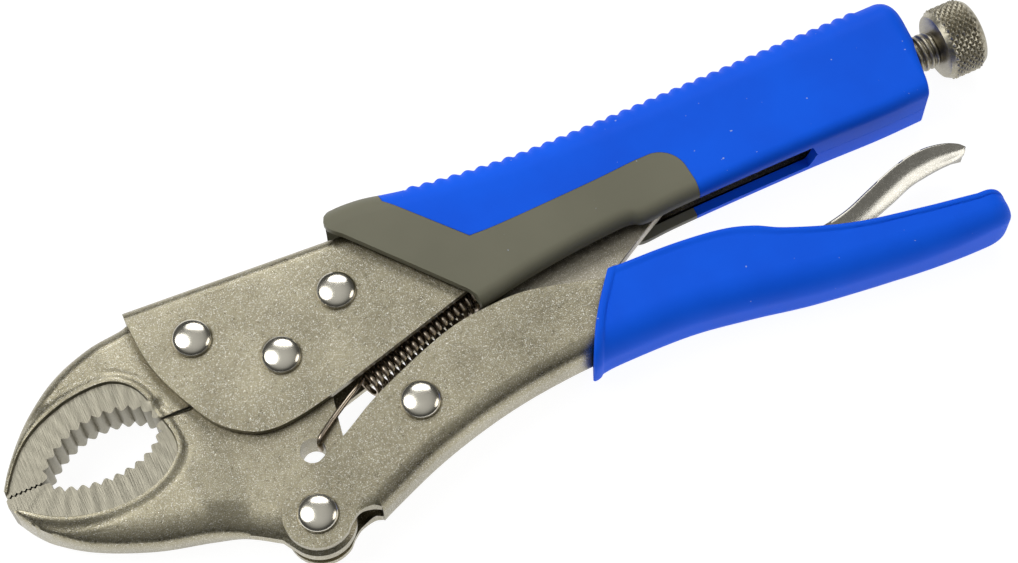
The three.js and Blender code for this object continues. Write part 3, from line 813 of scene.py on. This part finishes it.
def knob():
    around, rows = 288, 64

    def ring(x, radii):
        return [(x, SCREW_Y + radius * cos(2 * pi * i / around), radius * sin(2 * pi * i / around))
                for i, radius in enumerate(radii)]

    face = KNOB_RADIUS - KNOB_CHAMFER
    length = KNOB_LENGTH - 2 * KNOB_CHAMFER
    end = KNOB_FRONT_X + KNOB_LENGTH
    front = [(KNOB_FRONT_X + 0.05, 4.3), (KNOB_FRONT_X + 0.05, face - 0.3), (KNOB_FRONT_X + 0.2, face)]
    back = [(end - 0.25, face), (end, face - 0.4), (end, 3.2), (end - 0.5, 1.2)]
    rings = [ring(x, [radius] * around) for x, radius in front]
    for r in range(rows + 1):
        along = r / rows
        radii = [knurl_radius(i / around, along, length) for i in range(around)]
        rings.append(ring(KNOB_FRONT_X + KNOB_CHAMFER + length * along, radii))
    rings += [ring(x, [radius] * around) for x, radius in back]
    points, faces = tube_of_rings(rings)
    finish_piece("adjusting_knob_finished", points, faces, "adjusting_knob", NICKEL_KNOB,
                 ["adjusting_knob"], crease=28)


def screw():
    around = 40
    start, end = SCREW_TIP_X, KNOB_FRONT_X + 5.8
    rows = int((end - start) / 0.17)
    rings = []
    for r in range(rows + 1):
        x = start + (end - start) * r / rows
        ends = smooth_step((x - start - 0.4) / 1.6) * smooth_step((KNOB_FRONT_X - 0.4 - x) / 0.8)
        ring = []
        for i in range(around):
            phase = (x / THREAD_PITCH - i / around) % 1
            crest = min(1.0, max(0.0, 1.9 - abs(phase - 0.5) * 4.6))
            radius = SCREW_RADIUS - THREAD_DEPTH + THREAD_DEPTH * crest * ends
            ring.append((x, SCREW_Y + radius * cos(2 * pi * i / around), radius * sin(2 * pi * i / around)))
        rings.append(ring)
    points, faces = tube_of_rings(rings)
    finish_piece("adjusting_screw_finished", points, faces, "adjusting_screw", NICKEL_KNOB,
                 ["adjusting_screw"], crease=50)


# Spring

def spring():
    """Close-wound spring whose front hook goes through the jaw's hole and whose rear hook rounds the pin."""
    start, end = Vector((14.9, -13.0, 0)), Vector((50.6, -1.5, 0))
    along = end - start
    across = Vector((-along.y, along.x, 0)).normalized()
    turns, per_turn, radius = 21, 22, 2.75
    path = spline([(-0.5, -22.5, 0.4), (-0.5, -22.4, 3.9), (-0.2, -21.9, 5.2), (0.9, -20.9, 5.6),
                   (6.2, -17.4, 5.2), (11.6, -13.9, 4.2), (14.0, -12.0, 2.6)], 6)[:-1]
    for i in range(turns * per_turn + 1):
        angle = radians(55) - 2 * pi * i / per_turn
        share = i / (turns * per_turn)
        at = start + along * share + across * (radius * cos(angle))
        path.append(tuple(at + Vector((0, 0, radius * sin(angle)))))
    path += spline([(51.6, 1.4, 1.4), (53.6, 3.6, 0.8), (56, 5, 0.2), (58.6, 4.9, 0), (60.4, 3.4, 0),
                    (60.5, 1.4, 0)], 6)
    wire("tension_spring_finished", path, 0.64)


def wire(name, path, radius, around=10):
    """Round wire along a path, with a frame that turns as little as possible."""
    pts = [Vector(p) for p in path]
    rings = []
    side = Vector((0, 0, 1))
    for i, at in enumerate(pts):
        tangent = (pts[min(i + 1, len(pts) - 1)] - pts[max(i - 1, 0)]).normalized()
        side = (side - tangent * side.dot(tangent)).normalized()
        other = tangent.cross(side)
        shrink = 0.55 if i in (0, len(pts) - 1) else 1.0
        rings.append([tuple(at + (side * cos(2 * pi * k / around) + other * sin(2 * pi * k / around))
                            * radius * shrink) for k in range(around)])
    points, faces = tube_of_rings(rings)
    piece = finish_piece(name, points, faces, None, WIRE, (), crease=60)
    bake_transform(piece)
    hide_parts("tension_spring")


# Link and lever

def toggle_link():
    upper = [(20.2, -17.2), (32, -12.6), (45, -8.6), (62, -3.2), (84, 4.6), (102.9, 12.2)]
    lower = [(103, 1), (93, -3.6), (83, -8.8), (74, -14), (64, -19.4), (50, -24.6), (27, -29.4)]
    outline = (spline(upper, 8)[:-1] + arc((104.5, 8.0), 4.5, 100, -60, 18) + spline(lower, 8)[:-1]
               + arc(LINK_PIVOT, 7.0, 294, 126, 24))
    points, faces = flat_plate(outline, 1.7)
    finish_piece("toggle_link_finished", points, faces, "toggle_link", NICKEL_LINK_LIT,
                 ["toggle_link"], bevel=0.3)


LEVER_TIP = (164.2, -19.6)
LEVER_TOP = [(66.6, -21.6), (72, -20.4), (84, -19.9), (100, -21.6), (112, -22.6), (121.7, -23.0),
             (126.7, -22.7), (132.2, -21.6), (138.3, -19.5), (144.4, -17.4), (150.2, -15.9), (155.3, -15.5),
             (159.8, -16.3), (162.8, -17.7), LEVER_TIP]
LEVER_UNDER = [(66.8, -24.6), (73, -25.6), (84, -26.0), (98, -27.2), (112, -27.9), (126, -28.0), (134, -27.2),
               (142, -25.0), (147.9, -23.0), (152.2, -22.3), (156.5, -21.9), (160.5, -21.8), (163.1, -21.1),
               LEVER_TIP]


def far_flank(flank, x0, y0, rise):
    """The far side of a section, its lower edge raised towards the crown."""
    return [(x + (x0 - x) * rise, y + (y0 - y) * rise, -z) for x, y, z in reversed(flank)]


def release_lever():
    """Pressed lever: a U, open below, whose rear tongue has dished flanks and a rounded end."""
    steps, crown, count, half, wall = 10, 6, 110, 4.25, 1.1
    top = resample(spline(LEVER_TOP, 10), 0.25)
    under = resample(spline(LEVER_UNDER, 10), 0.25)
    outer, inner = [], []
    for k in range(count + 1):
        share = 1 - (1 - k / count) ** 1.25
        x0, y0 = top[int(share * (len(top) - 1))]
        x1, y1 = under[int(share * (len(under) - 1))]
        dish = 0.6 * smooth_step((x0 - 124) / 20) * smooth_step((165.5 - x0) / 5)
        depth = hypot(x1 - x0, y1 - y0)
        skin, lining = [], []
        for i in range(steps + 1):
            down = 1 - i / steps
            hollow = dish * sin(pi * min(1.0, down * 1.05)) ** 1.2
            skin.append((x0 + (x1 - x0) * down, y0 + (y1 - y0) * down, half - hollow))
            low = max(down, min(1.0, wall / max(depth, 0.01)))
            lining.append((x0 + (x1 - x0) * low, y0 + (y1 - y0) * low, half - hollow - wall))
        skin[-1] = (skin[-1][0], skin[-1][1] - 0.25, skin[-1][2] - 0.3)
        ridge = [(x0, y0 + 0.2 * sin(pi * i / crown), (half - 0.9) * (1 - 2 * i / crown))
                 for i in range(crown + 1)]
        roof = [(lining[-1][0], lining[-1][1], (half - wall) * (1 - 2 * i / crown)) for i in range(1, crown)]
        roof = [lining[-1]] + roof + [(lining[-1][0], lining[-1][1], -lining[-1][2])]
        rise = 0.55 * smooth_step((x0 - 118) / 22)
        outer.append(skin + ridge + far_flank(skin, x0, y0, rise))
        inner.append(lining + roof + far_flank(lining, x0, y0, rise))
    points, faces = sheet_of_grid(outer, inner)
    finish_piece("release_lever_finished", points, faces, "release_lever", NICKEL_LEVER_SHADED,
                 ["release_lever"], crease=50, bevel=0.2)


# Grips

def rounded_section(bottom, top, half, bottom_radius, top_radius, gap, arc_steps=10, side_steps=10,
                    spine_steps=12, floor_steps=6):
    """Loop (y, z) of a grip, from the near lip of the slot round the top to the far lip."""
    def corner(cy, cz, radius, start, end):
        return [(cy + radius * sin(radians(start + (end - start) * i / arc_steps)),
                 cz + radius * cos(radians(start + (end - start) * i / arc_steps)))
                for i in range(arc_steps + 1)]
    floor_run = [(bottom, gap + (half - bottom_radius - gap) * i / floor_steps) for i in range(floor_steps)]
    low = corner(bottom + bottom_radius, half - bottom_radius, bottom_radius, -90, 0)
    side = [(bottom + bottom_radius + (top - top_radius - bottom - bottom_radius) * i / side_steps, half)
            for i in range(1, side_steps)]
    high = corner(top - top_radius, half - top_radius, top_radius, 0, 90)
    near = floor_run + low + side + high
    spine = [(top, (half - top_radius) * (1 - 2 * i / spine_steps)) for i in range(1, spine_steps)]
    return near + spine + [(y, -z) for y, z in reversed(near)]


GRIP_TAIL_X = 162.0
GRIP_REAR_X = 166.0
TAIL_INSET = 3.4
SCREW_HOLE_RADIUS = 5.0
GRIP_TOP = spline([(21.2, 28.3), (23.0, 28.8), (27.0, 28.96), (32, 28.5), (37, 27.4), (42, 26.4), (51, 25.1),
                   (61, 24.0), (71, 23.3), (91, 22.9), (130, 22.85), (GRIP_TAIL_X, 22.8)], 6)
GRIP_BOTTOM = spline([(21.4, -8.4), (44, -8.4), (49, -8.0), (60, -6.2), (72, -4.9), (82, -4.3), (85.5, -4.5),
                      (88.5, -5.6), (96, -5.2), (110, -5.0), (133, -5.0), (150, -5.4),
                      (GRIP_TAIL_X, -5.2)], 6)
SLOT_END_X = 131.7
RIDGE_FIRST_X, RIDGE_PITCH, RIDGE_COUNT = 43.6, 3.3, 35
GRIP_FRONT = [(28.0, 40), (27.4, 29.2), (25.2, 28.9), (23.4, 28.0), (22.0, 26.6), (21.3, 24.9), (21.4, 23.1),
              (22.4, 21.7), (24.0, 20.2), (44.2, -4.4), (45.3, -6.4), (45.8, -8.8), (45.8, -20), (190, -20),
              (190, 40)]


def ridge_lift(x):
    """Height of the anti-slip ridges over the spine."""
    run = (x - RIDGE_FIRST_X) / RIDGE_PITCH
    if run < -0.5 or run > RIDGE_COUNT - 0.5:
        return 0.0
    return 0.92 * abs(cos(pi * run)) ** 1.4 - 0.2


def grip_skin(offset):
    """Rows of the upper grip's skin, moved inwards by offset, rounded in to the screw hole at the rear."""
    xs = list(np.arange(20.6, 42.0, 0.6)) + list(np.arange(42.0, GRIP_TAIL_X, 0.33)) + [GRIP_TAIL_X]
    rows = []
    for x in xs:
        half = GRIP_HALF + 0.5 * smooth_step((62 - x) / 34)
        gap = 4.9 if x < SLOT_END_X else max(0.05, 4.9 - 5.2 * smooth_step((x - SLOT_END_X) / 2.4))
        top = height_at(GRIP_TOP, x)
        section = rounded_section(height_at(GRIP_BOTTOM, x) + offset, top - offset, half - offset,
                                  max(0.5, 3.0 - offset), 6.6 - offset, gap)
        lift = 0.0 if offset else ridge_lift(x)
        row = []
        for y, z in section:
            share = smooth_step((y - (top - 4.6)) / 3.6) * smooth_step((8.4 - abs(z)) / 1.2)
            row.append((x, y + 0.8 * lift * share, z))
        rows.append(row)
    last = rows[-1]
    steps = 9
    for k in range(1, steps + 1):
        turn = radians(90 * k / steps)
        inset = TAIL_INSET * (1 - cos(turn))
        row = []
        for _, y, z in last:
            length = GRIP_REAR_X - offset - GRIP_TAIL_X - 0.2 * max(0.0, 10.0 - y)
            keep = 1 - inset / (hypot(y - SCREW_Y, z) or 1)
            row.append((GRIP_TAIL_X + length * sin(turn), SCREW_Y + (y - SCREW_Y) * keep, z * keep))
        rows.append(row)
    flat = rows[-1]
    for share in (0.5, 1.0):
        row = []
        for x, y, z in flat:
            angle = atan2(z, y - SCREW_Y)
            to_y, to_z = SCREW_Y + SCREW_HOLE_RADIUS * cos(angle), SCREW_HOLE_RADIUS * sin(angle)
            row.append((x, y + (to_y - y) * share, z + (to_z - z) * share))
        rows.append(row)
    return rows


def cut_with(piece, cutter, operation):
    """Applies one boolean and removes the cutter."""
    tool = piece.modifiers.new("cut", "BOOLEAN")
    tool.operation = operation
    tool.solver = "EXACT"
    tool.object = cutter
    bpy.context.view_layer.objects.active = piece
    bpy.context.view_layer.update()
    evaluated = piece.evaluated_get(bpy.context.evaluated_depsgraph_get())
    made = bpy.data.meshes.new_from_object(evaluated)
    piece.modifiers.clear()
    old = piece.data
    piece.data = made
    bpy.data.meshes.remove(old)
    bpy.data.objects.remove(cutter)


def prism(outline, half):
    """Temporary straight-sided block of an outline."""
    count = len(outline)
    points = [(x, y, half) for x, y in outline] + [(x, y, -half) for x, y in outline]
    faces = [tuple(range(count)), tuple(range(2 * count - 1, count - 1, -1))]
    faces += [(i, i + count, (i + 1) % count + count, (i + 1) % count) for i in range(count)]
    return linked("block", closed_mesh("block", points, faces))


def collar_outline(grow):
    """Side outline of the grey part, grown by half of the joint line."""
    edge = [(35.6 + grow, 60), (35.6 + grow, 24.0)]
    edge += spline([(50.0 + grow, 7.4 + grow * 1.4), (58, 7.2 + grow), (80, 7.7 + grow), (92, 8.3 + grow)], 8)
    edge += arc((95.4, 1.4), 6.9 + grow, 84, 4, 14)
    edge += [(102.6 + grow, -2.0), (102.0 + grow, -30)]
    return [(0, -30), (0, 60)] + edge


def upper_grip():
    """Both parts of the upper grip, cut from one skin along the collar's outline."""
    points, faces = sheet_of_grid(grip_skin(0.0), grip_skin(2.2))
    for node, slot, material, grow, operation, edge in (
            ("grip_collar", "grey_rubber", GREY, -0.04, "INTERSECT", 0.9),
            ("upper_grip", "blue_rubber", BLUE, 0.04, "DIFFERENCE", 0.2)):
        piece = finish_piece(node + "_finished", points, faces, None, material)
        cut_with(piece, prism(GRIP_FRONT, 30), "INTERSECT")
        cut_with(piece, prism(collar_outline(grow), 40), operation)
        piece.data.materials.clear()
        piece.data.materials.append(material)
        piece.data.polygons.foreach_set("use_smooth", [True] * len(piece.data.polygons))
        piece.data.set_sharp_from_angle(angle=radians(40))
        add_bevel(piece, edge)
        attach(piece, "upper_handle")
        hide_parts(node)


LOWER_GRIP_SPINE = spline([(58, -31.9), (66, -31.4), (84, -32), (100, -34.4), (116, -37.4), (138, -40.2),
                           (152, -41.2), (162, -41.2)], 6)
LOWER_GRIP_RIM = spline([(58, -13.4), (77, -14.1), (92, -15.6), (102, -18), (111, -21.6), (128, -27),
                         (145, -30.4), (158, -32.6), (162, -33.4)], 6)
LOWER_GRIP_FRONT_X = 58.0
LOWER_GRIP_END_X = 159.3
LOWER_GRIP_ROUND = 6.6
LOWER_GRIP_MID_Y = -37.0
LIP_WIDTH = 2.4


def lower_grip_rows(offset):
    """Rows of the lower sleeve, from one rim round the spine to the other rim."""
    xs = list(np.arange(LOWER_GRIP_FRONT_X, 66.0, 0.3)) + list(np.arange(66.0, LOWER_GRIP_END_X, 0.8))
    rows = []
    for x in xs + [LOWER_GRIP_END_X]:
        spine_y, rim_y = height_at(LOWER_GRIP_SPINE, x), height_at(LOWER_GRIP_RIM, x)
        radius = min(6.2, (rim_y - spine_y) * 0.55) - offset
        section = channel_section(spine_y + offset, rim_y, GRIP_HALF - 0.25 - offset, radius, -1, 24, 10, 8)
        row = []
        for y, z in section:
            start = 60.6 + (y + 36.0) * 0.62 - 1.4 * sin(pi * (y + 36.0) / 22)
            shift = start + (x - LOWER_GRIP_FRONT_X) * (LOWER_GRIP_END_X - start) / (
                LOWER_GRIP_END_X - LOWER_GRIP_FRONT_X)
            swell = 0.0
            if not offset:
                lip = (shift - start) / LIP_WIDTH
                swell = (0.5 * sqrt(max(0.0, 1 - (2 * min(lip, 1.0) - 1) ** 2))
                         + 0.35 * max(0.0, 1 - lip / 2.2) ** 2)
                from_rim = (rim_y - y) / 1.4
                swell = max(swell, 0.42 * sqrt(max(0.0, 1 - (2 * min(from_rim, 1.0) - 1) ** 2)))
            away = hypot(y - (spine_y + 7.0), z) or 1.0
            down = min(0.0, y - (spine_y + 7.0)) / away
            row.append((shift, y + swell * down, z * (1 + swell / away)))
        rows.append(row)
    last = rows[-1]
    steps = 14
    for k in range(1, steps + 1):
        turn = radians(90 * k / steps)
        keep = max(0.05, max(0.0, 1 - sin(turn) ** 2.8) ** (1 / 2.8))
        x = LOWER_GRIP_END_X + (LOWER_GRIP_ROUND - offset) * sin(turn)
        rows.append([(x, LOWER_GRIP_MID_Y + (y - LOWER_GRIP_MID_Y) * keep, z * keep) for _, y, z in last])
    return rows


def lower_grip():
    points, faces = sheet_of_grid(lower_grip_rows(0.0), lower_grip_rows(2.1))
    finish_piece("lower_grip_finished", points, faces, "lower_handle", BLUE,
                 ["lower_grip"], crease=50, bevel=0.5)


# Stage

FLOOR_HALF = 1.6


def floor():
    mesh = bpy.data.meshes.new("floor")
    corners = [(-1, -1), (1, -1), (1, 1), (-1, 1)]
    mesh.from_pydata([(x * FLOOR_HALF, y * FLOOR_HALF, 0) for x, y in corners], [], [(0, 1, 2, 3)])
    plane = linked("floor", mesh)
    plane.location.z = cad_box[0][2] - 0.0002
    material, tree, shader, coords = new_material("pale_floor")
    tone = ramp(tree, noise(tree, coords, 3, 2), [(0.2, (0.14, 0.14, 0.14)), (0.8, (0.16, 0.16, 0.16))])
    set_inputs(tree, shader, {"Base Color": tone, "Roughness": 0.9, "Emission Color": (1, 1, 1, 1),
                              "Emission Strength": 0.94})
    mesh.materials.append(material)


def softbox(name, at, target, size, power, colour=(1, 1, 1)):
    light = bpy.data.lights.new(name, "AREA")
    light.shape = "ELLIPSE"
    light.size, light.size_y = size
    light.energy = power
    light.color = colour
    lamp = linked(name, light)
    lamp.location = at
    lamp.rotation_euler = (Vector(target) - Vector(at)).to_track_quat("-Z", "Y").to_euler()


def lights():
    softbox("left_box", (-0.44, 0.24, 0.62), (0, 0, 0), (0.56, 0.70), 2.9)
    softbox("top_box", (0.26, 0.62, 0.60), (0.05, 0, 0), (0.7, 0.4), 2.4)
    softbox("right_fill", (0.75, -0.35, 0.45), (0, 0, 0), (0.5, 0.5), 1.1, (1, 0.95, 0.88))
    world = bpy.data.worlds.new("studio")
    bpy.context.scene.world = world
    world.use_nodes = True
    tree = world.node_tree
    coords = tree.nodes.new("ShaderNodeTexCoord")
    split = tree.nodes.new("ShaderNodeSeparateXYZ")
    tree.links.new(coords.outputs["Generated"], split.inputs["Vector"])
    sky = ramp(tree, split.outputs["Z"], [(0.0, (0.55, 0.55, 0.55)), (0.12, (0.035, 0.035, 0.033)),
                                          (0.55, (0.07, 0.07, 0.067)), (0.85, (0.36, 0.36, 0.35)),
                                          (1.0, (0.50, 0.50, 0.49))])
    tree.links.new(sky, tree.nodes["Background"].inputs["Color"])
    tree.nodes["Background"].inputs["Strength"].default_value = 1.0


def camera():
    data = bpy.data.cameras.new("view")
    data.lens = 91.5
    data.sensor_width = 36
    data.clip_start = 0.01
    view = linked("view", data)
    view.location = place((-38.2, -217.3, 545.3))
    aim = Vector(place((54.8, -3.2, 0.0))) - view.location
    view.rotation_mode = "QUATERNION"
    view.rotation_quaternion = aim.to_track_quat("-Z", "Y") @ Quaternion((0, 0, 1), radians(-1.86))
    bpy.context.scene.camera = view


def dress(node, material):
    mesh = frame["nodes"][node].data
    mesh.materials.clear()
    mesh.materials.append(material)


camera()
lights()
floor()
frame_channel()
lower_channel()
upper_jaw()
lower_jaw()
rivet("jaw_front_rivet", FRONT_RIVET, "upper_handle")
rivet("jaw_rear_rivet", REAR_RIVET, "upper_handle")
rivet("jaw_pivot_rivet", JAW_PIVOT, "upper_handle")
rivet("handle_pivot_rivet", HANDLE_PIVOT, "lower_handle")
rivet("link_pivot_rivet", LINK_PIVOT, "lower_handle")
knob()
screw()
spring()
toggle_link()
release_lever()
upper_grip()
lower_grip()
dress("screw_sleeve", NICKEL)
dress("spring_anchor_pin", NICKEL)
dress("lever_pin", POLISHED)

bpy.context.view_layer.update()
bpy.context.scene.view_settings.view_transform = "Standard"
